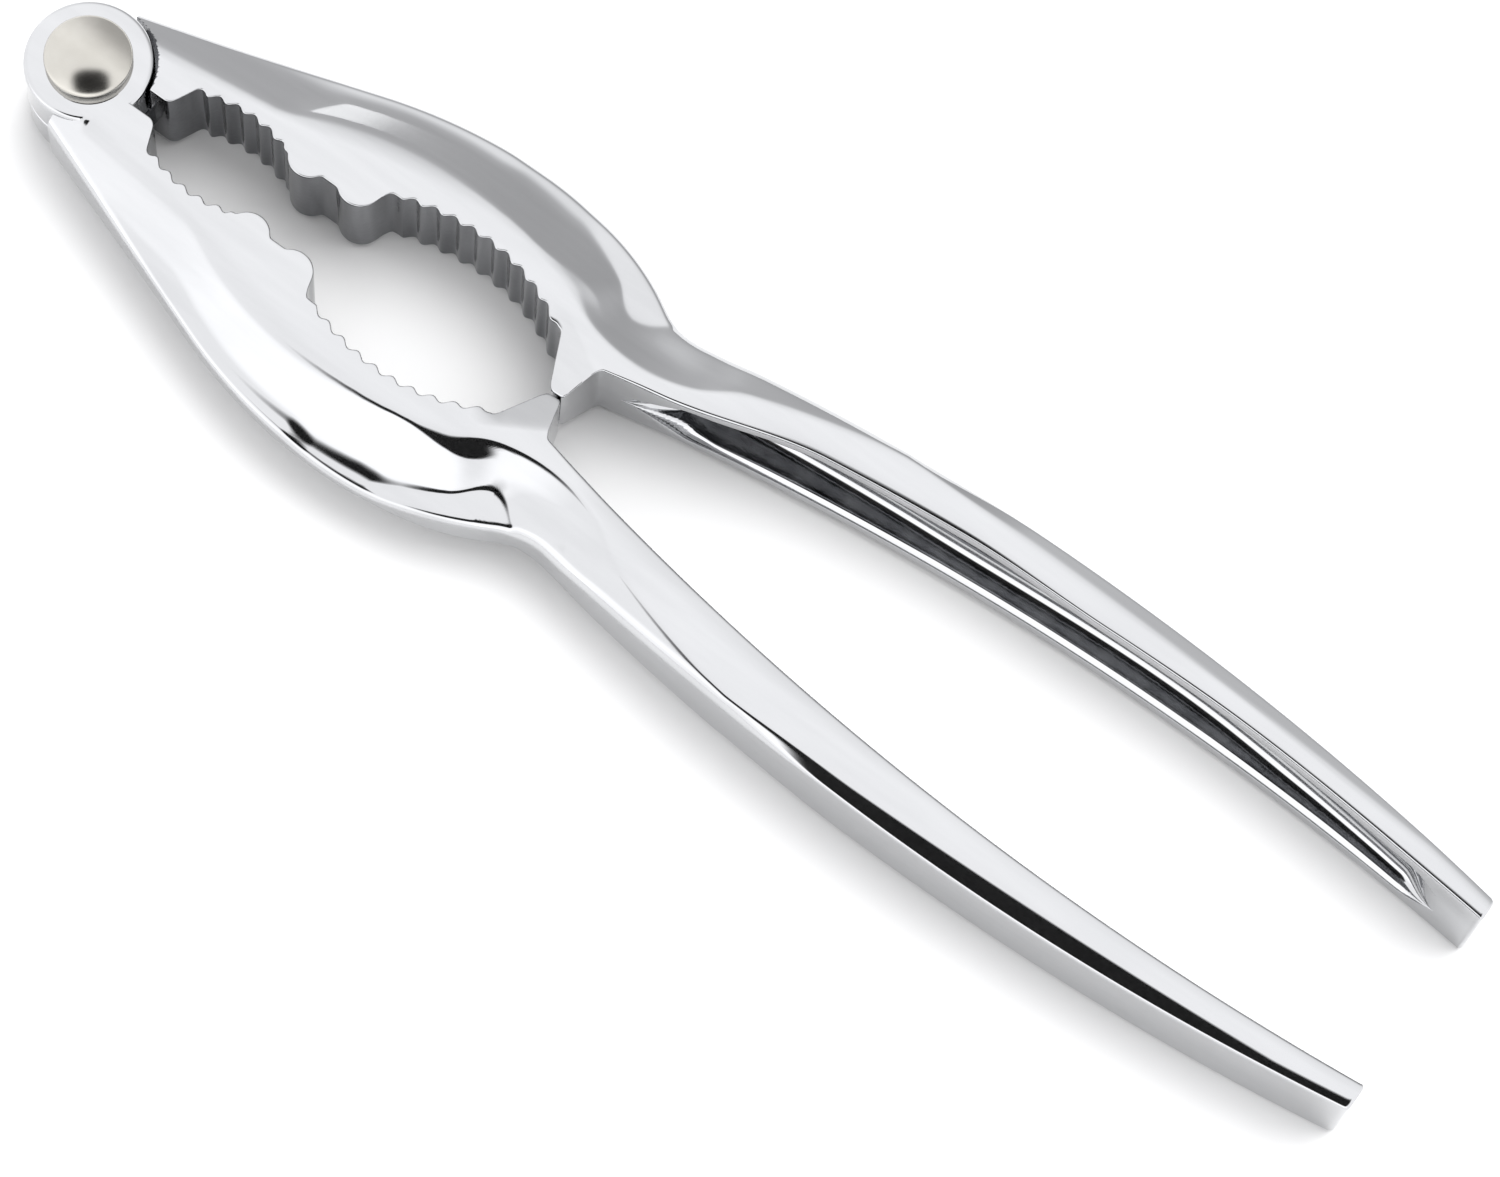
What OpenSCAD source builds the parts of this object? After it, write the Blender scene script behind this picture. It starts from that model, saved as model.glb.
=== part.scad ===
// Lever nutcracker: two identical cast arms, one turned over on the other, and the rivet that joins them.
// Each arm is drawn about its hinge axis, lying on the +Y side with its handle towards +X.
// The assembly is then moved so that the origin is the bottom centre of the closed tool.

/* [Arms] */
// Thickness of an arm between its two flat faces
arm_thick = 10.9; // [9.5:0.1:12]
// Distance from the hinge axis to the end of the handles
arm_reach = 170; // [168:0.5:176]
// Space left between the two stops when the arms are closed
stop_gap = 0.3; // [0.2:0.05:0.6]

/* [Hinge] */
// Radius of the half-thickness disc at the end of each arm
disc_r = 6.9; // [6.5:0.1:7.1]
// Radial clearance around the other arm's disc
recess_clear = 0.4; // [0.3:0.05:0.6]
// Space between the two discs, along the hinge axis
lap_gap = 0.2; // [0.1:0.05:0.4]

/* [Rivet] */
// Radius of the rivet's shank
shank_r = 2.5; // [2:0.1:3]
// Radial clearance of the shank in both arms
shank_clear = 0.05; // [0.02:0.01:0.1]
// Radius of the domed head
head_r = 4.7; // [4:0.1:5.5]
// Height of the domed head
head_h = 2.5; // [2:0.1:3]
// Radius of the formed tail
tail_r = 4.3; // [3.8:0.1:5]
// Height of the formed tail
tail_h = 1.2; // [0.8:0.1:1.6]

/* [Teeth] */
// Distance between neighbouring teeth in the small cavity
small_pitch = 2.1; // [1.9:0.05:2.3]
// Distance between neighbouring teeth in the large cavity
large_pitch = 2.25; // [2:0.05:2.4]
// Depth of a tooth from tip to trough
tooth_depth = 0.6; // [0.4:0.05:0.8]

/* [Handles] */
// Thickness of the channel's two flanges
flange_t = 2; // [1.8:0.1:2.6]
// Thickness of the channel's back wall
web_t = 1.6; // [1.2:0.1:2]
// Distance from the hinge axis to the near end of the channel
channel_from = 67; // [66:0.5:72]
// Length of the solid block at the end of the handle
end_block = 5.5; // [4:0.5:10]

/* [Hidden] */

$fn = 96;
chrome = [0.52, 0.525, 0.535];
nickel = [0.54, 0.52, 0.48];

half = arm_thick / 2;
recess_r = disc_r + recess_clear;
bore_r = shank_r + shank_clear;
cover = 2;                        // how far a cutter runs past the faces that it cuts

// Hinge root: half-width of the slot between the two arms, and the flat on the shoulder
slot_y = 1.2;
shoulder_x = 0.6;

// Handle: its inner lip and its back are two large arcs, and both have rounded edges
lip_r = 330;
lip_centre = [134, -317.7];
back_r = 310;
back_centre = [118, -292.1];
lip_edge = 0.6;
back_edge = 1.3;
edge_steps = 4;
// The flange on the recess side is shorter: its lip leaves the other one's at a point, in a
// direction, and then follows its own arc
short_from = [67, 5.5];
short_turn = 16;
short_lip_r = 307.7;
short_lip_centre = [130, -294.3];
handle_from = 63.6;
handle_fn = 720;

// Jaw: outer rim made of two arcs that meet at the widest point, and a fillet into the handle
rim_x = 45.5;
rim_y = 20.3;
rim_near_r = 58;
rim_far_r = 38;
neck_fillet_r = 9;
rim_step = 1.5;                   // degrees between points of an arc

// A sloping plane is given as [point on its upper edge, direction of that edge, slope], both in degrees.
// Jaw bevel: a cone with two slopes, given as [radius, drop below the flat face]
bevel_centre = [41, -34.5];
bevel_profile = [[47.2, 0], [52.9, 3.65], [58, 5.1]];
bevel_fn = 360;
root_plane = [[0, 5.1], 7.4, 28.5];        // takes over from the cone next to the hinge
root_end = 35;
rim_plane = [[0, -0.95], 0, 11.3];         // takes over from the cone next to the neck
// Shoulder: the narrow, flatter band between the flat face and the bevel
band_centre = [48, -67.7];
band_r = 80;
band_slope = 0.23;
band_plane = [[4.3, 5.2], 8.8, 14];

// Neck: a hollow cone that runs the bevel out into the handle's top face
neck_centre = [65.5, 27.4];
neck_r = 20;
neck_slope = 0.4;
// Line in plan where the jaw bevel gives way to the neck
split_point = [61, 7.8];
split_turn = 46;

// Small cavity: mid-line of the teeth
small_x = 17.5;
small_y = 5.35;
small_r = 14.8;
small_first = 12.4;
small_last = 22.2;
// Two lobes between the cavities: [centre x, centre y, radius]
lobes = [[25.1, 5.4, 2.4], [31.2, 6.1, 2.5]];
lobe_floor = 4.35;
// Large cavity: mid-line of the teeth, with one radius each side of the deepest point
large_x = 45;
large_y = 9.2;
large_near_r = 28;
large_far_r = 22;
large_first = 35.55;
large_last = 57.2;
tooth_points = 6;                 // points drawn on each tooth

// Stop: both faces slope down from this crease to the tip
stop_plane = [[63.6, 3.94], 149, 19];
stop_width = 7;

// Ends of the channel are round in plan: centre and radius of each
near_scoop = [channel_from + 15, -1, 16.3];
far_scoop = [arm_reach - end_block - 3, 11.2, 3];

// Origin of the assembly, seen from the hinge axis
origin_x = (arm_reach - disc_r) / 2;
origin_z = half + tail_h;

// Points along an arc from angle a0 to a1
function arc(centre, r, a0, a1) =
    let (n = ceil(abs(a1 - a0) / rim_step))
    [for (k = [0 : n]) let (a = a0 + (a1 - a0) * k / n) centre + r * [cos(a), sin(a)]];

// Point at distances r1 and r2 from c1 and c2, on the left of the way from c1 to c2
function meet(c1, r1, c2, r2) =
    let (d = norm(c2 - c1), u = (c2 - c1) / d, along = (d * d + r1 * r1 - r2 * r2) / (2 * d))
    c1 + along * u + sqrt(r1 * r1 - along * along) * [-u[1], u[0]];

function angle(from, to) = atan2(to[1] - from[1], to[0] - from[0]);

// Height of a circle's upper side over its own top, which is at [top_x, top_y]
function crown(x, top_x, top_y, r) = top_y - r + sqrt(r * r - pow(x - top_x, 2));

// Ripple of the teeth: lowest at each tip, starting at x = first
function ripple(x, first, pitch) = -tooth_depth / 2 * cos(360 * (x - first) / pitch);

small_edge = [for (x = [small_first : small_pitch / tooth_points : small_last])
    [x, crown(x, small_x, small_y, small_r) + ripple(x, small_first, small_pitch)]];

large_edge = [for (x = [large_first : large_pitch / tooth_points : large_last])
    [x, crown(x, large_x, large_y, x < large_x ? large_near_r : large_far_r)
        + ripple(x, large_first, large_pitch)]];

near_centre = [rim_x, rim_y - rim_near_r];
far_centre = [rim_x, rim_y - rim_far_r];
fillet_centre = meet(far_centre, rim_far_r + neck_fillet_r, back_centre, back_r + neck_fillet_r);
// Direction of the straight flank that would touch both the recess and the rim
flank_turn = atan2(near_centre[1], near_centre[0]) + asin((rim_near_r - recess_r) / norm(near_centre));
shoulder = [shoulder_x, shoulder_x * tan(flank_turn) + recess_r / cos(flank_turn)];

outer_edge = concat(
    arc(fillet_centre, neck_fillet_r, angle(back_centre, fillet_centre) + 180,
        angle(far_centre, fillet_centre) + 180),
    arc(far_centre, rim_far_r, angle(far_centre, fillet_centre), 90),
    arc(near_centre, rim_near_r, 90, 90 + flank_turn),
    [shoulder]);

inner_edge = concat(
    [[shoulder_x, slot_y], [9.3, slot_y], [9.9, 1.6], [11.1, 4.4], [11.7, 4.6]],
    small_edge,
    [[22.9, lobe_floor], [32.4, lobe_floor], [33.7, 6.1], [34.3, 7.3]],
    large_edge,
    [[57.6, 5.7], [60, 0.6], [60.4, stop_gap / 2], [62, stop_gap / 2], [63.2, 4.1]]);

// Inside of the neck, where the jaw's outline runs hidden in the handle
neck_root = [[65, 6.5], [69, 9], [72.5, 11.5], [72.5, 13.5]];

module jaw_outline() {
    polygon(concat(inner_edge, neck_root, outer_edge));
    for (l = lobes)
        translate([l[0], l[1]]) circle(r = l[2]);
}

// Quarter round at the corner [r, z] of a ring's section; the signs say which corner it is
function round_corner(r, z, size, out, up, a0, a1) =
    [for (k = [0 : edge_steps]) let (a = a0 + (a1 - a0) * k / edge_steps)
        [r + out * size * (cos(a) - 1), z + up * size * (sin(a) - 1)]];

// Body of the handle: everything inside the back arc and outside the lip arc
module handle_blank() {
    depth = 40;
    intersection() {
        translate(back_centre)
            rotate_extrude($fn = handle_fn)
                polygon(concat(
                    round_corner(back_r, -half, back_edge, 1, -1, 90, 0),
                    round_corner(back_r, half, back_edge, 1, 1, 0, 90),
                    [[back_r - depth, half], [back_r - depth, -half]]));
        translate(lip_centre)
            rotate_extrude($fn = handle_fn)
                polygon(concat(
                    round_corner(lip_r, -half, lip_edge, -1, -1, 90, 0),
                    round_corner(lip_r, half, lip_edge, -1, 1, 0, 90),
                    [[lip_r + depth, half], [lip_r + depth, -half]]));
        translate([handle_from, 0, -half])
            cube([arm_reach - handle_from, depth, arm_thick]);
    }
}

// Space inside the channel, open towards the other handle
module channel() {
    room = 2 * (half - flange_t);
    intersection() {
        translate(back_centre)
            cylinder(r = back_r - web_t, h = room, center = true, $fn = handle_fn);
        union() {
            translate([near_scoop[0], 0, -room / 2])
                cube([far_scoop[0] - near_scoop[0], back_r, room]);
            for (c = [near_scoop, far_scoop])
                translate([c[0], c[1], 0])
                    cylinder(r = c[2], h = room, center = true);
        }
    }
}

// Material in front of the shorter flange's lip
module lip_relief() {
    room = flange_t + cover;
    translate([0, 0, half - flange_t])
        intersection() {
            translate(short_lip_centre)
                cylinder(r = short_lip_r, h = room, $fn = handle_fn);
            translate(short_from)
                rotate([0, 0, short_turn])
                    translate([0, -back_r, 0])
                        cube([2 * arm_reach, back_r, room]);
        }
}

// Block that rests on a sloping plane; its upper edge runs from the plane's point, less before
module above(plane, length, width, before = 0) {
    translate([plane[0][0], plane[0][1], half])
        rotate([0, 0, plane[1]])
            rotate([-plane[2], 0, 0])
                translate([-before, 0, 0])
                    cube([length, width, width]);
}

// Ring about centre with the section that polygon points give, as [radius, drop below the flat face]
module ring_above(centre, section) {
    last = len(section) - 1;
    translate(centre)
        rotate_extrude($fn = bevel_fn)
            polygon(concat(
                [for (p = section) [p[0], half - p[1]]],
                [[section[last][0], half + cover], [section[0][0], half + cover]]));
}

// Material above the jaw's bevel and its shoulder, up to the line where the neck takes over
module jaw_bevel() {
    width = 80;
    intersection() {
        union() {
            intersection() {
                ring_above(bevel_centre, bevel_profile);
                above(rim_plane, 2 * width, width, width);
                union() {
                    above(root_plane, 2 * width, width, width);
                    translate([root_end, 0, 0]) cube([width, width, half + cover]);
                }
            }
            intersection() {
                ring_above(band_centre, [[band_r, 0], [band_r + 20, 20 * band_slope]]);
                above(band_plane, width, width);
            }
        }
        translate([split_point[0], split_point[1], 0])
            rotate([0, 0, split_turn])
                translate([-width, 0, 0])
                    cube([2 * width, width, half + cover]);
    }
}

// Material above the sloping face of the neck
module neck_bevel() {
    ring_above(neck_centre, [[0, neck_slope * neck_r], [neck_r, 0]]);
}

// One casting, with its disc in the lower half
module arm() {
    difference() {
        union() {
            difference() {
                union() {
                    translate([0, 0, -half])
                        linear_extrude(arm_thick) jaw_outline();
                    handle_blank();
                }
                for (side = [0, 1])
                    mirror([0, 0, side]) {
                        jaw_bevel();
                        neck_bevel();
                        above(stop_plane, stop_width, 12);
                    }
                channel();
                lip_relief();
                translate([0, 0, -lap_gap / 2])
                    cylinder(r = recess_r, h = arm_thick);
            }
            translate([0, 0, -half])
                cylinder(r = disc_r, h = half - lap_gap / 2);
        }
        translate([0, 0, -half - cover])
            cylinder(r = bore_r, h = arm_thick);
    }
}

// Low dome standing on z = 0
module dome(r, h) {
    rim = 0.35 * h;
    ball_r = (r * r + pow(h - rim, 2)) / (2 * (h - rim));
    intersection() {
        cylinder(r = r, h = h);
        translate([0, 0, h - ball_r]) sphere(r = ball_r);
    }
}

// Moves a piece from the hinge frame to the assembly's frame
module place() {
    translate([-origin_x, 0, origin_z]) children();
}

module lower_arm() {
    color(chrome) place() arm();
}

module upper_arm() {
    color(chrome) place() rotate([180, 0, 0]) arm();
}

module rivet() {
    head_z = half + lap_gap / 2;
    color(nickel) place() {
        translate([0, 0, -half]) cylinder(r = shank_r, h = half + head_z);
        translate([0, 0, head_z]) dome(head_r, head_h - lap_gap / 2);
        translate([0, 0, -half]) mirror([0, 0, 1]) dome(tail_r, tail_h);
    }
}

upper_arm();
lower_arm();
rivet();
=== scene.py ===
"""Looks of the lever nutcracker: two chromed castings and their rivet, on a pale floor.

Shapes are worked out in millimetres about the hinge axis, for the arm on the +Y side, with its
handle towards +X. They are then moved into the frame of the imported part, in metres.
"""

import math

import bmesh
import bpy
import numpy as np
from mathutils import Matrix, Vector

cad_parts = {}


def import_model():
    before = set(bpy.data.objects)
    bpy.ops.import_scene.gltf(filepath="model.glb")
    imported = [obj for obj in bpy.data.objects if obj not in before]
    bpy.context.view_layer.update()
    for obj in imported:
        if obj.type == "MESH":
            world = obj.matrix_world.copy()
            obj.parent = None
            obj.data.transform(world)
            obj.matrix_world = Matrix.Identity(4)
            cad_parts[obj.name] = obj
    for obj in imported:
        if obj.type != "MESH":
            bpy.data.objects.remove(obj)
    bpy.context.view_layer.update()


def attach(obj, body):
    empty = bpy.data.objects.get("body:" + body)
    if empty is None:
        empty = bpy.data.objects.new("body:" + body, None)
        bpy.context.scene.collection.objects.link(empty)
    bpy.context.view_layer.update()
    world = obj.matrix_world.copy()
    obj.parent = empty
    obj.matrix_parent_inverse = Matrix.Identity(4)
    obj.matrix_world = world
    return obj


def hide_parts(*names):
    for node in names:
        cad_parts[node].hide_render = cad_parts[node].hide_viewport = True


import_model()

# ---------------------------------------------------------------- measures, in mm
MM = 0.001
HALF = 5.45                     # half the thickness of an arm
REACH = 170.0                   # hinge axis to handle end
ROOT_X = 0.6                    # where the body of an arm starts, next to the hinge axis
DISC_R = 6.9
RECESS_R = 7.3
BORE_R = 2.55
SHANK_R = 2.5
LAP = 0.1                       # half the space between the two discs
HEAD_H, TAIL_H = 2.5, 1.2       # the rivet's head above the arms and its tail below them
HINGE = Vector((-(REACH - DISC_R) / 2, 0, HALF + TAIL_H))

# jaw, seen from above
RIM_X, RIM_Y, RIM_NEAR_R, RIM_FAR_R = 45.5, 20.3, 58.0, 38.0
FILLET_X, FILLET_Y, FILLET_R = 68.85, 23.09, 9.0
SMALL_X, SMALL_Y, SMALL_R = 17.5, 5.35, 14.8
SMALL_FROM, SMALL_TO, SMALL_PITCH = 12.4, 22.2, 2.1
LARGE_X, LARGE_Y, LARGE_NEAR_R, LARGE_FAR_R = 45.0, 9.2, 28.0, 22.0
LARGE_FROM, LARGE_TO, LARGE_PITCH = 35.55, 57.2, 2.25
TOOTH = 0.6
LOBES = ((25.1, 5.4, 2.4), (31.2, 6.1, 2.5))
STOP_Y = 0.15                   # tip of the stop, half the space between the two

# handle, seen from above
LIP_X, LIP_Y, LIP_R = 134.0, -317.7, 330.0
BACK_X, BACK_Y, BACK_R = 118.0, -292.1, 310.0
FLANGE_Z = HALF - 2.35          # inner face of the channel's flanges
WEB_ROUND = 1.9                 # round between the flanges and the web
WEB = (3.0, 1.55)               # back wall of the channel, at half height
NEAR_SCOOP = (65.8, 74.0)       # from where to where the channel deepens
FAR_SCOOP = (160.5, 165.6)      # from where to where it ends

# upper side: sloping planes are (x, y, direction of the upper edge, slope), angles in degrees
ROOT_PLANE = (0.0, 5.1, 7.4, 28.5)
RIM_PLANE = (0.0, -11.6, 0.0, 7.0)
BAND_PLANE = (4.3, 5.2, 8.8, 14.0)
STOP_PLANE = (63.6, 3.94, 149.0, 19.0)
# a surface leaves from one x to another, moved out of the way by a drop or a lift
ROOT_DROP, ROOT_LEAVES = 3, (24, 35)            # the root's plane gives way to the bevel
RIM_DROP, RIM_LEAVES = 2, (40, 50)              # the rim's plane near the hinge does so too
BAND_SHORT = 4                                  # rise of the band's plane in front of its start
BAND_LIFT, BAND_LEAVES = 4, (60, 64)
STOP_REACH = (-3.5, -1.0, 5.0, 9.0)             # along its edge: rise from, to, fall from, to
STOP_SOFT = 0.5
BEVEL_X, BEVEL_Y = 41.0, -34.5
BEVEL_R, BEVEL_SLOPE, FACET_2_SLOPE = (47.2, 52.9), 0.69, 0.15
SWELL_X, SWELL_Y, SWELL_Z = 62.3, 12.4, 2.9     # fullest place of the rim's facet
SWELL_OUT, SWELL_AHEAD, SWELL_BEHIND = 0.09, 0.09, 0.010  # its falls outwards and both ways along
SWELL_DROP, SWELL_LEAVES = 6, (67.5, 71)
LENS_X, LENS_SLOPE = (49.0, 58.0, 63.0), 0.31   # flatter start of the bevel, next to the neck
LENS_FULL, LENS_LIFT, LENS_STARTS = 0.6, 5, (30, 46)
BAND_X, BAND_Y, BAND_R, BAND_SLOPE = 48.0, -67.7, 80.0, 0.23
NECK_X, NECK_Y, NECK_R, NECK_SLOPES = 65.5, 27.4, 20.0, (0.62, 0.46)
NECK_EASES = (62, 72)           # from where to where its slope changes
SHOULDER = 0.65                 # fuller outer part of the neck, which ends the rim's facet
SHOULDER_X, SHOULDER_Y = (61, 66.5, 75), (9.5, 14)
RUN_OUT_X, RUN_OUT_Y, RUN_OUT_R = 111.0, -82.5, 100.0     # the neck's face along the handle
RUN_OUT_STARTS, RUN_OUT_LIFT, RUN_OUT_LEAVES = (72, 79), 9, (98, 112)
SPLIT = (61.0, 7.8, 46.0)       # line in plan where the jaw's bevel gives way to the neck
SPLIT_BLEND = (0.5, 6.5)        # distances behind that line over which they blend
CREASE = 0.35                   # how far a crease is softened
# handle's top: polished facet along the back (widest at FACET_X) and a soft roll along the lip
FACET_X, FACET_W, FACET_NARROWS = 128.0, 1.9, 1 / 1100
FACET_LEAST_W = 0.9
FACET_SLOPES, FACET_TURNS = (0.62, 0.31), (98, 111)
FACET_LIFT, FACET_STARTS = 4, (84, 96)
ROLL_W, ROLL_SLOPE, ROLL_NARROWS = (3.2, 1.7), 0.12, (96, 122)
CROWN = 0.05                    # rise of the handle's top between its two edges
HANDLE_STARTS = (66, 74)
SET_BACK = 1.85                 # most that the recess side's lip stands behind the other
SET_BACK_STARTS = (70, 88)
SET_BACK_FADES = ((0.35, 104, 122), (0.5, 134, 166))      # (share lost, from x, to x)
WEB_THINS = (100, 138)

# sections
ROUND_IN, ROUND_IN_MORE, ROUND_IN_X = 0.2, 0.15, (62.5, 68)       # edge round, inner side
ROUND_OUT, ROUND_OUT_MORE, ROUND_OUT_X = 0.7, 0.4, (60, 72)        # edge round, outer side
ROUND_OUT_LESS, ROUND_OUT_END_X = 0.85, (92, 108)

WALL_POINTS = 30                # points on half a section's inner wall
LIP_BEVEL = ((1.0, 0.0), (0.9, 0.03), (0.2, 0.6), (0.08, 0.74), (0.02, 0.87), (0.0, 1.0))
TOP_POINTS = 64                 # points on the rest of half a section
STEP = 0.26                     # distance between sections along the jaw's edge
EDGE_SHARE = 0.8                # how much the edge's rise counts in that distance
END_ROUND, END_CROWN, END_MARGIN = 0.4, 0.08, 1.4         # round, crown and flat of the end face


# ---------------------------------------------------------------- small functions
def smin(a, b, k=CREASE):
    """Smooth minimum of two heights."""
    h = np.maximum(k - np.abs(a - b), 0) / k
    return np.minimum(a, b) - h * h * k / 4


def smax(a, b, k=CREASE):
    return -smin(-a, -b, k)


def ease(x, start, end):
    """0 before start, 1 after end, and a smooth rise between them."""
    t = np.clip((x - start) / (end - start), 0, 1)
    return t * t * (3 - 2 * t)


def circle_y(x, cx, cy, r):
    """Upper side of a circle over x."""
    return cy + np.sqrt(np.maximum(r * r - (x - cx) ** 2, 0))


def beyond(line, x, y):
    """Distances along and to the left of a line that is given as (x, y, direction)."""
    c, s = math.cos(math.radians(line[2])), math.sin(math.radians(line[2]))
    dx, dy = x - line[0], y - line[1]
    return dx * c + dy * s, dy * c - dx * s


def slope(plane, x, y):
    """Height of a sloping plane."""
    return HALF - math.tan(math.radians(plane[3])) * beyond(plane, x, y)[1]


# ---------------------------------------------------------------- outlines of an arm
def ripple(x, first, pitch):
    return -TOOTH / 2 * np.cos(2 * np.pi * (x - first) / pitch)


def sharp_inner(x):
    """Inner edge of the jaw, before its corners are softened."""
    lip = circle_y(x, LIP_X, LIP_Y, LIP_R)
    turns = [(ROOT_X, 1.2), (9.3, 1.2), (9.9, 1.6), (11.1, 4.4), (11.7, 4.6), (SMALL_FROM, 4.15),
             (SMALL_TO, 4.4), (22.9, 4.35), (32.4, 4.35), (33.7, 6.1), (34.3, 7.3), (LARGE_FROM, 7.4),
             (LARGE_TO, 5.9), (57.6, 5.7), (60.0, 0.6), (60.4, STOP_Y), (62.0, STOP_Y), (63.2, 4.1),
             (63.6, 4.7)]
    y = np.interp(x, *zip(*turns))
    small = circle_y(x, SMALL_X, SMALL_Y - SMALL_R, SMALL_R) + ripple(x, SMALL_FROM, SMALL_PITCH)
    y = np.where((x > SMALL_FROM) & (x < SMALL_TO), small, y)
    large_r = np.where(x < LARGE_X, LARGE_NEAR_R, LARGE_FAR_R)
    large = circle_y(x, LARGE_X, LARGE_Y - large_r, large_r) + ripple(x, LARGE_FROM, LARGE_PITCH)
    y = np.where((x > LARGE_FROM) & (x < LARGE_TO), large, y)
    for cx, cy, r in LOBES:
        below = cy - np.sqrt(np.maximum(r * r - (x - cx) ** 2, 0))
        y = np.where(np.abs(x - cx) < r, np.minimum(y, below), y)
    return np.where(x > 63.6, lip, y)


def softened(values, spacing, width):
    """Values on an even grid, with their corners rounded over a width."""
    reach = int(3 * width / spacing)
    offsets = np.arange(-reach, reach + 1) * spacing
    kernel = np.exp(-0.5 * (offsets / width) ** 2)
    padded = np.pad(values, reach, mode="edge")
    return np.convolve(padded, kernel / kernel.sum(), mode="valid")


GRID = np.arange(ROOT_X, 80.0, 0.05)
INNER = softened(sharp_inner(GRID), 0.05, 0.14)


def inner(x):
    return np.where(x < 78, np.interp(x, GRID, INNER), circle_y(x, LIP_X, LIP_Y, LIP_R))


def outer(x):
    """Outer edge of an arm: straight flank, two rim arcs, fillet and handle back."""
    near_y, far_y = RIM_Y - RIM_NEAR_R, RIM_Y - RIM_FAR_R
    turn = math.atan2(near_y, RIM_X) + math.asin((RIM_NEAR_R - RECESS_R) / math.hypot(RIM_X, near_y))
    flank = x * math.tan(turn) + RECESS_R / math.cos(turn)
    touch = RIM_X - RIM_NEAR_R * math.sin(turn)
    y = np.where(x < touch, flank, circle_y(x, RIM_X, near_y, RIM_NEAR_R))
    y = np.where(x > RIM_X, circle_y(x, RIM_X, far_y, RIM_FAR_R), y)
    fillet = FILLET_Y - np.sqrt(np.maximum(FILLET_R ** 2 - (x - FILLET_X) ** 2, 0))
    back = circle_y(x, BACK_X, BACK_Y, BACK_R)
    start = RIM_X + (FILLET_X - RIM_X) * RIM_FAR_R / (RIM_FAR_R + FILLET_R)
    end = BACK_X + (FILLET_X - BACK_X) * BACK_R / (BACK_R + FILLET_R)
    y = np.where((x > start) & (x < end), fillet, y)
    return np.where(x >= end, back, y)


# ---------------------------------------------------------------- upper surface of an arm
def top(x, y):
    """Height of the upper side at x over an array of y; the lower side is its mirror image."""
    out = np.hypot(x - BEVEL_X, y - BEVEL_Y) - BEVEL_R[0]
    bevel = smax(HALF - BEVEL_SLOPE * out,
                 slope(ROOT_PLANE, x, y) - ROOT_DROP * ease(x, *ROOT_LEAVES), 0.3)
    swell = ease(x, LENS_X[0], LENS_X[1]) * (1 - ease(x, LENS_X[1], LENS_X[2]))
    lens = HALF - LENS_SLOPE * out + LENS_LIFT * (1 - ease(x, *LENS_STARTS))
    bevel = smin(bevel + LENS_FULL * swell, lens, 0.1)
    sloping = neck_and_bevel(x, y, bevel)
    side = smax(sloping, rim_facet(x, y, out), 0.5 - 0.35 * ease(x, 50, 60))
    along, _ = beyond(BAND_PLANE, x, y)
    band = smax(HALF - BAND_SLOPE * (np.hypot(x - BAND_X, y - BAND_Y) - BAND_R),
                slope(BAND_PLANE, x, y) + BAND_SHORT * np.maximum(-along, 0), 0.2)
    band = band + BAND_LIFT * ease(x, *BAND_LEAVES)
    z = smin(smin(side, band, 0.25), HALF + 0 * y, 0.2)
    along, left = beyond(STOP_PLANE, x, y)
    reach = ease(along, *STOP_REACH[:2]) * (1 - ease(along, *STOP_REACH[2:]))
    left = np.maximum(left, 0)
    z = z - math.tan(math.radians(STOP_PLANE[3])) * left ** 2 / (left + STOP_SOFT) * reach
    start = float(ease(x, *HANDLE_STARTS))
    return smin(z, handle_top(x, y), 0.12 * start) if start > 0 else z


def rim_facet(x, y, out):
    """Narrow flatter facet between the bevel and the rim; it swells and ends next to the neck."""
    run = BEVEL_R[1] - BEVEL_R[0]
    even = HALF - BEVEL_SLOPE * run - FACET_2_SLOPE * (out - run)
    ahead = x - SWELL_X
    along = SWELL_AHEAD * ahead if ahead > 0 else SWELL_BEHIND * ahead ** 2
    swollen = SWELL_Z - SWELL_OUT * (y - SWELL_Y) - along
    near = slope(RIM_PLANE, x, y) - RIM_DROP * ease(x, *RIM_LEAVES)
    return smax(smax(even, near, 0.4), swollen, 0.3) - SWELL_DROP * ease(x, *SWELL_LEAVES)


def neck_and_bevel(x, y, bevel):
    """The jaw's bevel flows into the sloping face of the neck, which runs out along the handle."""
    fall = NECK_SLOPES[0] + (NECK_SLOPES[1] - NECK_SLOPES[0]) * ease(x, *NECK_EASES)
    neck = HALF - fall * (NECK_R - np.hypot(x - NECK_X, y - NECK_Y))
    run_out = HALF - fall * (np.hypot(x - RUN_OUT_X, y - RUN_OUT_Y) - RUN_OUT_R)
    neck += SHOULDER * ease(x, *SHOULDER_X[:2]) * (1 - ease(x, *SHOULDER_X[1:])) * ease(y, *SHOULDER_Y)
    run_out = run_out + RUN_OUT_LIFT * ease(x, *RUN_OUT_LEAVES)
    neck += (run_out - neck) * ease(x, *RUN_OUT_STARTS)
    _, left = beyond(SPLIT, x, y)
    return neck + (bevel - neck) * ease(left, *SPLIT_BLEND)


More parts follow.
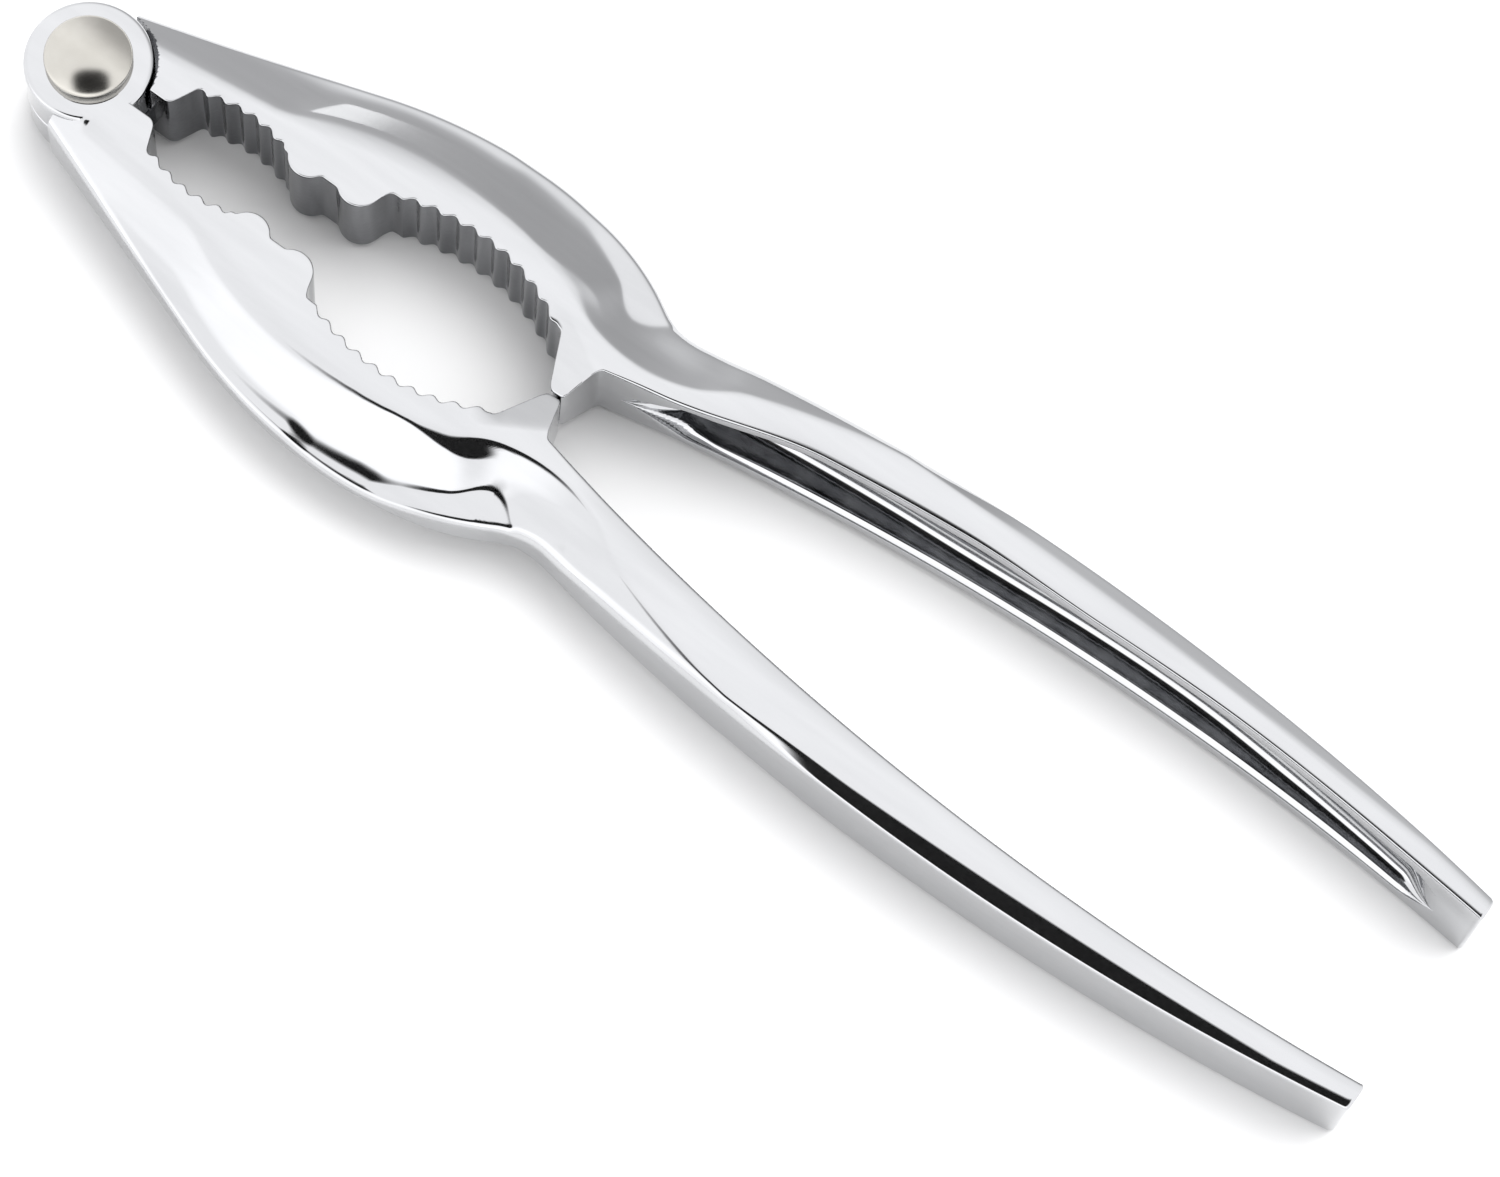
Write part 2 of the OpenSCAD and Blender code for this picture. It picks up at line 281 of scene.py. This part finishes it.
def handle_top(x, y):
    """Upper side of the handle: a facet along the back and a soft roll along the lip."""
    lip, back = circle_y(x, LIP_X, LIP_Y, LIP_R), circle_y(x, BACK_X, BACK_Y, BACK_R)
    width = FACET_W - FACET_NARROWS * (x - FACET_X) ** 2
    steep = FACET_SLOPES[0] + (FACET_SLOPES[1] - FACET_SLOPES[0]) * ease(x, *FACET_TURNS)
    facet = HALF - steep * (y - back + max(width, FACET_LEAST_W))
    not_yet = 1 - ease(x, *FACET_STARTS)
    roll_w = ROLL_W[0] + (ROLL_W[1] - ROLL_W[0]) * ease(x, *ROLL_NARROWS)
    inward = np.maximum(roll_w - (y - lip), 0)
    start = ease(x, *HANDLE_STARTS)
    roll = ROLL_SLOPE * start * inward ** 2 / (2 * roll_w)
    bulge = CROWN * start * ((2 * y - lip - back) / (back - lip)) ** 2
    return smin(facet + FACET_LIFT * not_yet, HALF - roll - bulge, 0.15)


def set_back(x):
    """How far the lip of the flange on the recess side stands behind the other flange's lip."""
    far = SET_BACK * ease(x, *SET_BACK_STARTS)
    for share, start, end in SET_BACK_FADES:
        far = far * (1 - share * ease(x, start, end))
    return float(far)


def web_thick(x):
    """Thickness of the channel's back wall, which is less in the narrow end of the handle."""
    return WEB[0] + (WEB[1] - WEB[0]) * float(ease(x, *WEB_THINS))


def channel_depth(x):
    """How deep the handle's channel is behind its lip; it scoops in and out smoothly."""
    lip = float(circle_y(x, LIP_X, LIP_Y, LIP_R))
    web = float(circle_y(x, BACK_X, BACK_Y, BACK_R)) - web_thick(x)
    return (web - lip) * float(ease(x, *NEAR_SCOOP) * (1 - ease(x, *FAR_SCOOP)))


def arc_points(cy, cz, ry, rz, start, end, count=12):
    """Points of an ellipse in a section, from one angle in degrees to another."""
    return [(cy + ry * math.cos(math.radians(a)), cz + rz * math.sin(math.radians(a)))
            for a in np.linspace(start, end, count)]


def half_section(x):
    """Half a section at x, from the middle of the inner side over the top to the middle of the back."""
    x_in = min(x, REACH)
    y_in, y_out = float(inner(x_in)), float(outer(x_in))
    round_in = ROUND_IN + ROUND_IN_MORE * float(ease(x, *ROUND_IN_X))
    round_out = ROUND_OUT + ROUND_OUT_MORE * float(ease(x, *ROUND_OUT_X))
    round_out -= ROUND_OUT_LESS * float(ease(x, *ROUND_OUT_END_X))
    depth = channel_depth(x)
    points = [(y_in + depth, 0.0)]
    if depth > 0:
        flange_z = FLANGE_Z * min(1.0, 0.25 + 0.75 * float(ease(x, 66, 75)))
        flange_z *= 1 - 0.6 * float(ease(x, 159.5, 166)) ** 2
        web_r = min(WEB_ROUND, 0.62 * depth, 0.9 * flange_z)
        lip_r = min(0.8 + 1.2 * (1 - float(ease(x, 69, 77))), 0.3 * depth)
        points += arc_points(y_in + depth - web_r, flange_z - web_r, web_r, web_r, 0, 90)
        points += [(y_in + a * lip_r, flange_z + b * lip_r) for a, b in LIP_BEVEL]
    edge_top = top(x, np.array([y_in, y_out]))
    round_out = min(round_out, 0.85 * edge_top[1])
    points.append((y_in, edge_top[0] - round_in))
    wall = resampled(np.array(points, float), WALL_POINTS)
    points = []
    turn = np.radians(np.linspace(0, 90, 14))
    y = y_in + round_in * (1 - np.cos(turn))
    points += list(zip(y, top(x, y) - round_in * (1 - np.sin(turn))))
    y = np.linspace(y_in + round_in, y_out - round_out, 260)
    points += list(zip(y, top(x, y)))
    y = y_out - round_out * (1 - np.cos(turn[::-1]))
    points += list(zip(y, top(x, y) - round_out * (1 - np.sin(turn[::-1]))))
    points.append((y_out, 0.0))
    return np.vstack([wall[:-1], resampled(np.array(points, float), TOP_POINTS)])


def resampled(points, count):
    """Evenly spread points along a line of points, closer together where it turns."""
    steps = np.diff(points, axis=0)
    lengths = np.hypot(*steps.T)
    keep = np.append(True, lengths > 1e-6)
    points = points[keep]
    steps = np.diff(points, axis=0)
    lengths = np.hypot(*steps.T)
    heading = np.unwrap(np.arctan2(steps[:, 1], steps[:, 0]))
    turning = np.abs(np.diff(heading))
    weight = lengths.copy()
    weight[:-1] += 0.6 * turning
    weight[1:] += 0.6 * turning
    total = np.append(0, np.cumsum(weight))
    at = np.linspace(0, total[-1], count)
    return np.column_stack([np.interp(at, total, points[:, i]) for i in (0, 1)])


def stations():
    """Places of the sections: even along the toothed edge, then along the handle."""
    run = np.append(0, np.cumsum(np.hypot(np.diff(GRID), EDGE_SHARE * np.diff(INNER))))
    stop = np.interp(67.0, GRID, run)
    jaw = np.interp(np.linspace(0, stop, int(stop / STEP)), run, GRID)
    scoop = np.arange(67.4, 76, 0.4)
    handle = np.arange(76.5, 160, 1.0)
    far = np.arange(160.2, 168.0, 0.35)
    return np.concatenate([jaw, scoop, handle, far, [168.6, 169.1, 169.4]])


# ---------------------------------------------------------------- meshes
def mesh_object(name, vertices, faces):
    data = bpy.data.meshes.new(name)
    data.from_pydata(vertices, [], faces)
    data.validate()
    obj = bpy.data.objects.new(name, data)
    bpy.context.scene.collection.objects.link(obj)
    return obj


def loft(name, rings):
    """Closed skin over rings of points that all have the same length."""
    count = len(rings[0])
    vertices = [tuple(p) for ring in rings for p in ring]
    faces = [tuple(range(count))[::-1], tuple(range((len(rings) - 1) * count, len(rings) * count))]
    for i in range(len(rings) - 1):
        for j in range(count):
            k = (j + 1) % count
            a = i * count
            faces.append((a + j, a + k, a + count + k, a + count + j))
    obj = mesh_object(name, vertices, faces)
    tidy = bmesh.new()
    tidy.from_mesh(obj.data)
    bmesh.ops.recalc_face_normals(tidy, faces=tidy.faces)
    tidy.to_mesh(obj.data)
    tidy.free()
    return obj


def lathe(name, profile, sides=160):
    """Solid of revolution about Z; the profile runs from the lower axis point to the upper one."""
    vertices = [(0, 0, profile[0][1]), (0, 0, profile[-1][1])]
    body = profile[1:-1]
    for r, z in body:
        for k in range(sides):
            a = 2 * math.pi * k / sides
            vertices.append((r * math.cos(a), r * math.sin(a), z))
    faces = []
    for k in range(sides):
        n = (k + 1) % sides
        faces.append((0, 2 + n, 2 + k))
        last = 2 + (len(body) - 1) * sides
        faces.append((1, last + k, last + n))
        for i in range(len(body) - 1):
            a = 2 + i * sides
            faces.append((a + k, a + n, a + sides + n, a + sides + k))
    return mesh_object(name, vertices, faces)


def boolean(obj, tool, operation):
    change = obj.modifiers.new(operation, "BOOLEAN")
    change.operation = operation
    change.object = tool
    change.solver = "EXACT"
    graph = bpy.context.evaluated_depsgraph_get()
    result = bpy.data.meshes.new_from_object(obj.evaluated_get(graph))
    obj.modifiers.clear()
    old = obj.data
    obj.data = result
    bpy.data.meshes.remove(old)
    bpy.data.objects.remove(tool)


def section_ring(x, half, shrink=0.0):
    """Whole section as a ring of 3-D points, pulled in by shrink on every side."""
    middle = (half[:, 0].min() + half[:, 0].max()) / 2
    width = (half[:, 0].max() - half[:, 0].min()) / 2
    y = middle + (half[:, 0] - middle) * (1 - shrink / width)
    z = half[:, 1] * (1 - shrink / HALF)
    web = float(circle_y(x, BACK_X, BACK_Y, BACK_R)) - web_thick(x)
    lip = half[:, 0].min()
    give = set_back(x) * np.clip((web - y) / max(web - lip, 1), 0, 1)
    upper = [(x, a, b) for a, b in zip(y + give * ease(z, -3, 3), z)]
    lower = [(x, a, -b) for a, b in zip(y + give * ease(-z, -3, 3), z)][-2:0:-1]
    return upper + lower


def disc():
    """Half-thickness disc around the hinge axis, with its outer edge rounded."""
    edge = 0.55
    profile = [(0, -HALF)]
    profile += [(DISC_R - edge * (1 - math.sin(a)), -HALF + edge * (1 - math.cos(a)))
                for a in np.radians(np.linspace(0, 90, 10))]
    profile += [(DISC_R, -3.0), (DISC_R, -LAP - 0.15), (DISC_R - 0.15, -LAP), (0, -LAP)]
    return lathe("disc", profile, 192)


def arm_mesh(name):
    """One casting about the hinge axis, with its disc in the lower half."""
    rings = [section_ring(x, half_section(x)) for x in stations()]
    end = half_section(REACH)
    for a in np.radians(np.linspace(10, 80, 6)):
        x = REACH - END_ROUND * (1 - math.sin(a)) - END_CROWN
        rings.append(section_ring(x, end, END_ROUND * (1 - math.cos(a))))
    rings.append(section_ring(REACH, end, END_MARGIN))
    obj = loft(name, rings)
    above = HALF + 2
    recess = lathe(name + "_recess", [(0, -LAP), (RECESS_R, -LAP), (RECESS_R, above), (0, above)], 192)
    boolean(obj, recess, "DIFFERENCE")
    boolean(obj, disc(), "UNION")
    low, high = -HALF - 1, HALF + 1
    bore = lathe(name + "_bore", [(0, low), (BORE_R, low), (BORE_R, high), (0, high)], 96)
    boolean(obj, bore, "DIFFERENCE")
    return obj


def place(obj, turned):
    """Moves a shape from the hinge frame to the part's frame; the upper arm is turned over first."""
    move = Matrix.Translation(HINGE)
    if turned:
        move = move @ Matrix.Rotation(math.pi, 4, "X")
    obj.data.transform(Matrix.Scale(MM, 4) @ move)


def shade(obj, angle=32):
    """Smooth faces, with the edges that turn more than the angle kept sharp."""
    work = bmesh.new()
    work.from_mesh(obj.data)
    bmesh.ops.remove_doubles(work, verts=work.verts, dist=1e-7)
    limit = math.radians(angle)
    for face in work.faces:
        face.smooth = True
    for edge in work.edges:
        edge.smooth = len(edge.link_faces) == 2 and edge.calc_face_angle(0) < limit
    work.to_mesh(obj.data)
    work.free()


def build_arm(name, node, body, turned, outside, cast_and_shade):
    obj = arm_mesh(name)
    obj.data.materials.append(outside)
    # second material: cast texture with painted shade and painted highlights
    obj.data.materials.append(cast_and_shade)
    assign_cast_and_shade(obj)
    place(obj, turned)
    shade(obj)
    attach(obj, body)
    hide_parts(node)
    return obj


def assign_cast_and_shade(obj):
    """Walls that the polishing wheel can't reach keep their cast texture and get painted shade: teeth,
    channel, recess.
    """
    teeth_start, teeth_end = 9, 57.4
    channel_start, channel_end = 71.5, 163.5
    for face in obj.data.polygons:
        x, y, z = face.center
        level = abs(face.normal.z) < 0.35
        inside = y < float(inner(min(max(x, ROOT_X), REACH))) + 0.16
        radius = math.hypot(x, y)
        in_channel = (channel_start < x < channel_end and abs(z) < FLANGE_Z + 0.1
                      and abs(face.normal.z) > 0.94
                      and inner(x) + 0.4 < y < inner(x) + channel_depth(x) + 0.1)
        in_recess = radius < RECESS_R + 0.05 and z > -LAP - 0.05
        in_jaw = level and inside and teeth_start < x < teeth_end
        at_root = level and x < teeth_start and 0.5 < y < 1.5
        # index 1 gives these faces the cast texture with its painted shade and painted highlights
        face.material_index = int(in_jaw or in_channel or in_recess or at_root)


def rivet_mesh():
    """Domed head, shank and formed tail, as one turned shape."""
    base = HALF + LAP
    crown = HALF + HEAD_H
    dome_r, dome_z = 4.45, base + 1.15
    rise = crown - dome_z
    ball = (dome_r ** 2 + rise ** 2) / (2 * rise)
    profile = [(0, -HALF - TAIL_H)]
    tail_r, tail_rise = 4.0, 0.75
    tail_ball = (tail_r ** 2 + tail_rise ** 2) / (2 * tail_rise)
    for a in np.linspace(0, math.asin(tail_r / tail_ball), 12)[1:]:
        profile.append((tail_ball * math.sin(a), -HALF - TAIL_H + tail_ball * (1 - math.cos(a))))
    profile += [(4.2, -HALF - 0.36), (4.28, -HALF - 0.24), (4.3, -HALF - 0.12), (4.25, -HALF - 0.01)]
    profile += [(SHANK_R, -HALF - 0.01), (SHANK_R, base), (4.2, base), (4.42, base + 0.1)]
    profile += [(4.58, base + 0.28), (4.67, base + 0.5), (4.7, base + 0.72), (4.68, base + 0.9)]
    profile += [(4.6, base + 1.04)]
    for a in np.linspace(math.asin(dome_r / ball), 0, 26)[:-1]:
        profile.append((ball * math.sin(a), crown - ball * (1 - math.cos(a))))
    profile.append((0, crown))
    return lathe("rivet_detail", profile, 128)


# ---------------------------------------------------------------- materials
def new_material(name, metallic, color, roughness):
    material = bpy.data.materials.new(name)
    material.use_nodes = True
    nodes, links = material.node_tree.nodes, material.node_tree.links
    shader = nodes["Principled BSDF"]
    shader.inputs["Metallic"].default_value = metallic
    shader.inputs["Base Color"].default_value = (*color, 1)
    shader.inputs["Roughness"].default_value = roughness
    return material, nodes, links, shader


def noise(nodes, links, place_node, scale, detail, stretch=None):
    """Noise in object coordinates, stretched along an axis where asked."""
    texture = nodes.new("ShaderNodeTexNoise")
    texture.inputs["Scale"].default_value = scale
    texture.inputs["Detail"].default_value = detail
    if stretch:
        mapping = nodes.new("ShaderNodeMapping")
        mapping.inputs["Scale"].default_value = stretch
        links.new(place_node.outputs["Object"], mapping.inputs["Vector"])
        links.new(mapping.outputs["Vector"], texture.inputs["Vector"])
    else:
        links.new(place_node.outputs["Object"], texture.inputs["Vector"])
    return texture


def ranged(nodes, links, source, low, high):
    """Map Range from a noise's middle values to the range asked for."""
    node = nodes.new("ShaderNodeMapRange")
    node.inputs["From Min"].default_value = 0.3
    node.inputs["From Max"].default_value = 0.7
    node.inputs["To Min"].default_value = low
    node.inputs["To Max"].default_value = high
    links.new(source, node.inputs["Value"])
    return node.outputs["Result"]


def bump(nodes, links, shader, source, strength, distance, before=None):
    node = nodes.new("ShaderNodeBump")
    node.inputs["Strength"].default_value = strength
    node.inputs["Distance"].default_value = distance
    links.new(source, node.inputs["Height"])
    if before:
        links.new(before.outputs["Normal"], node.inputs["Normal"])
    links.new(node.outputs["Normal"], shader.inputs["Normal"])
    return node


def tint(nodes, links, shader, source, dark, light):
    node = nodes.new("ShaderNodeValToRGB")
    node.color_ramp.elements[0].position = 0.3
    node.color_ramp.elements[1].position = 0.7
    node.color_ramp.elements[0].color = (*dark, 1)
    node.color_ramp.elements[1].color = (*light, 1)
    links.new(source, node.inputs["Fac"])
    links.new(node.outputs["Color"], shader.inputs["Base Color"])


def chrome_material():
    """Bright chrome: faint polishing haze, fine wipe marks and the slight waviness of a casting."""
    material, nodes, links, shader = new_material("polished_chrome", 1, (0.51, 0.515, 0.525), 0.06)
    place_node = nodes.new("ShaderNodeTexCoord")
    haze = noise(nodes, links, place_node, 60, 4)
    marks = noise(nodes, links, place_node, 500, 3, (0.12, 1, 1))
    waves = noise(nodes, links, place_node, 45, 1)
    links.new(ranged(nodes, links, haze.outputs["Fac"], 0.035, 0.085), shader.inputs["Roughness"])
    tint(nodes, links, shader, marks.outputs["Fac"], (0.50, 0.505, 0.515), (0.53, 0.535, 0.545))
    first = bump(nodes, links, shader, waves.outputs["Fac"], 0.10, 0.00006)
    bump(nodes, links, shader, marks.outputs["Fac"], 0.03, 0.00001, first)
    return material


def cast_and_shade_material():
    """Chrome over an unpolished cast wall: duller, with a fine sandy grain; its dark base is painted
    shade, its light streaks painted highlights.
    """
    # dark base colour: painted shade of the teeth walls, channel and recess, below real chrome
    material, nodes, links, shader = new_material("cast_chrome_painted_shade", 1, (0.14, 0.145, 0.155), 0.25)
    place_node = nodes.new("ShaderNodeTexCoord")
    grain = noise(nodes, links, place_node, 1600, 4)
    streak_and_highlight = noise(nodes, links, place_node, 350, 3, (1, 1, 0.15))
    links.new(ranged(nodes, links, streak_and_highlight.outputs["Fac"], 0.10, 0.22), shader.inputs["Roughness"])
    # lighter streaks in the colour: painted highlights
    tint(nodes, links, shader, streak_and_highlight.outputs["Fac"], (0.11, 0.114, 0.122), (0.23, 0.235, 0.245))
    bump(nodes, links, shader, grain.outputs["Fac"], 0.35, 0.00006)
    return material


def rivet_material():
    """Warmer polished steel with faint turning marks."""
    material, nodes, links, shader = new_material("rivet_steel", 1, (0.48, 0.465, 0.43), 0.18)
    place_node = nodes.new("ShaderNodeTexCoord")
    haze = noise(nodes, links, place_node, 300, 4)
    fine = noise(nodes, links, place_node, 2500, 2)
    links.new(ranged(nodes, links, haze.outputs["Fac"], 0.14, 0.24), shader.inputs["Roughness"])
    tint(nodes, links, shader, haze.outputs["Fac"], (0.455, 0.44, 0.405), (0.505, 0.49, 0.455))
    bump(nodes, links, shader, fine.outputs["Fac"], 0.06, 0.00002)
    return material


def floor_material():
    material, nodes, links, shader = new_material("pale_floor", 0, (0.6, 0.6, 0.6), 0.6)
    place_node = nodes.new("ShaderNodeTexCoord")
    tint(nodes, links, shader, noise(nodes, links, place_node, 20, 2).outputs["Fac"],
         (0.59, 0.59, 0.59), (0.61, 0.61, 0.61))
    return material


# ---------------------------------------------------------------- stage, in metres
FLOOR_HALF = 3.0
SKY_STRENGTH = 2.4
# from the near side, 0, to the far side, 1
SKY_SHADES = ((0.0, 0.66), (0.08, 0.86), (0.16, 0.79), (0.24, 0.65), (0.34, 0.64), (0.5, 0.64),
              (0.66, 0.68), (0.80, 0.56), (0.92, 0.33), (1.0, 0.26))
LAMP_PLACE, LAMP_WIDTH, LAMP_POWER = (0.1, 0.68, 0.95), 1.5, 26
CARD_HALVES, CARD_GAP = (0.36, 0.24), 0.03
CARD_FADE = (0.22, 0.9)         # from where to where the card's edge fades


def floor():
    """Pale floor, tipped so that the rivet's tail and the handle ends both rest on it."""
    s = FLOOR_HALF
    obj = mesh_object("floor", [(-s, -s, 0), (s, -s, 0), (s, s, 0), (-s, s, 0)], [(0, 1, 2, 3)])
    rise = TAIL_H * MM
    run = REACH * MM
    obj.rotation_euler = (0, -math.atan2(rise, run), 0)
    obj.location = (HINGE.x * MM, 0, -0.00002)
    obj.data.materials.append(floor_material())


FOCAL_LENGTH = 126.07           # mm
LENS_SHIFT = (3 / 1500, -3.5 / 1500)
CAMERA_PLACE = Vector((0.08118, -0.15808, 0.52312))
CAMERA_RIGHT = Vector((0.80783819, 0.58639036, 0.05952987))
CAMERA_AHEAD = Vector((-0.13620512, 0.2839945, -0.94910236))


def camera():
    data = bpy.data.cameras.new("camera")
    data.sensor_width = 36
    data.lens = FOCAL_LENGTH
    data.shift_x, data.shift_y = LENS_SHIFT
    data.clip_start = 0.02
    data.clip_end = 20
    obj = bpy.data.objects.new("camera", data)
    bpy.context.scene.collection.objects.link(obj)
    back = -CAMERA_AHEAD.normalized()
    right = CAMERA_RIGHT.normalized()
    up = back.cross(right)
    turn = Matrix((right, up, back)).transposed()
    obj.matrix_world = Matrix.Translation(CAMERA_PLACE) @ turn.to_4x4()
    bpy.context.scene.camera = obj


def world():
    """Light tent: white on the near side, softer overhead, grey low down on the far side."""
    studio = bpy.data.worlds.new("studio")
    studio.use_nodes = True
    bpy.context.scene.world = studio
    nodes, links = studio.node_tree.nodes, studio.node_tree.links
    back = nodes["Background"]
    direction = nodes.new("ShaderNodeTexCoord")
    parts = nodes.new("ShaderNodeSeparateXYZ")
    links.new(direction.outputs["Generated"], parts.inputs["Vector"])
    across = nodes.new("ShaderNodeMapRange")
    across.inputs["From Min"].default_value = -1
    across.inputs["From Max"].default_value = 1
    links.new(parts.outputs["Y"], across.inputs["Value"])
    ramp = nodes.new("ShaderNodeValToRGB")
    links.new(across.outputs["Result"], ramp.inputs["Fac"])
    shades(ramp, SKY_SHADES)
    links.new(ramp.outputs["Color"], back.inputs["Color"])
    back.inputs["Strength"].default_value = SKY_STRENGTH


def shades(ramp, stops):
    """Fills a colour ramp with greys that are given as (place, level)."""
    elements = ramp.color_ramp.elements
    while len(elements) < len(stops):
        elements.new(0.5)
    for element, (place_at, level) in zip(elements, stops):
        element.position = place_at
        element.color = (level, level, level * 1.01, 1)


def lamp():
    """Soft lamp on the far side; it whitens the floor and throws the shadows to the near side."""
    data = bpy.data.lights.new("soft_lamp", "AREA")
    data.shape = "DISK"
    data.size = LAMP_WIDTH
    data.energy = LAMP_POWER
    obj = bpy.data.objects.new("soft_lamp", data)
    bpy.context.scene.collection.objects.link(obj)
    obj.location = LAMP_PLACE
    obj.rotation_euler = Vector(obj.location).to_track_quat("Z", "Y").to_euler()
    obj.visible_glossy = False


def card():
    """Dark card round the lens, soft at its edges, seen only in the metal's reflections."""
    wide, high = CARD_HALVES
    obj = mesh_object("lens_card", [(-wide, -high, CARD_GAP), (wide, -high, CARD_GAP),
                                    (wide, high, CARD_GAP), (-wide, high, CARD_GAP)], [(0, 1, 2, 3)])
    obj.matrix_world = bpy.context.scene.camera.matrix_world.copy()
    material, nodes, links, shader = new_material("black_card", 0, (0.004, 0.004, 0.004), 1.0)
    place_node = nodes.new("ShaderNodeTexCoord")
    parts = nodes.new("ShaderNodeSeparateXYZ")
    links.new(place_node.outputs["Object"], parts.inputs["Vector"])
    terms = []
    for axis, size in (("X", wide), ("Y", high)):
        scaled = nodes.new("ShaderNodeMath")
        scaled.operation = "DIVIDE"
        scaled.inputs[1].default_value = size
        links.new(parts.outputs[axis], scaled.inputs[0])
        sized = nodes.new("ShaderNodeMath")
        sized.operation = "ABSOLUTE"
        links.new(scaled.outputs[0], sized.inputs[0])
        power = nodes.new("ShaderNodeMath")
        power.operation = "POWER"
        power.inputs[1].default_value = 3
        links.new(sized.outputs[0], power.inputs[0])
        terms.append(power)
    total = nodes.new("ShaderNodeMath")
    total.operation = "ADD"
    links.new(terms[0].outputs[0], total.inputs[0])
    links.new(terms[1].outputs[0], total.inputs[1])
    fade = nodes.new("ShaderNodeMapRange")
    fade.interpolation_type = "SMOOTHSTEP"
    fade.inputs["From Min"].default_value = CARD_FADE[0]
    fade.inputs["From Max"].default_value = CARD_FADE[1]
    links.new(total.outputs[0], fade.inputs["Value"])
    clear = nodes.new("ShaderNodeBsdfTransparent")
    mix = nodes.new("ShaderNodeMixShader")
    links.new(fade.outputs["Result"], mix.inputs[0])
    links.new(shader.outputs[0], mix.inputs[1])
    links.new(clear.outputs[0], mix.inputs[2])
    links.new(mix.outputs[0], nodes["Material Output"].inputs["Surface"])
    obj.data.materials.append(material)
    for ray in ("camera", "diffuse", "shadow", "transmission", "volume_scatter"):
        setattr(obj, "visible_" + ray, False)


# ---------------------------------------------------------------- assembly
bpy.context.scene.view_settings.view_transform = "Standard"
camera()
world()
floor()
lamp()
card()
chrome, cast_and_shade, steel = chrome_material(), cast_and_shade_material(), rivet_material()
build_arm("lower_arm_casting", "lower_arm", "lower_arm", False, chrome, cast_and_shade)
build_arm("upper_arm_casting", "upper_arm", "upper_arm", True, chrome, cast_and_shade)
rivet = rivet_mesh()
place(rivet, False)
shade(rivet)
rivet.data.materials.append(steel)
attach(rivet, "lower_arm")
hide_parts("rivet")
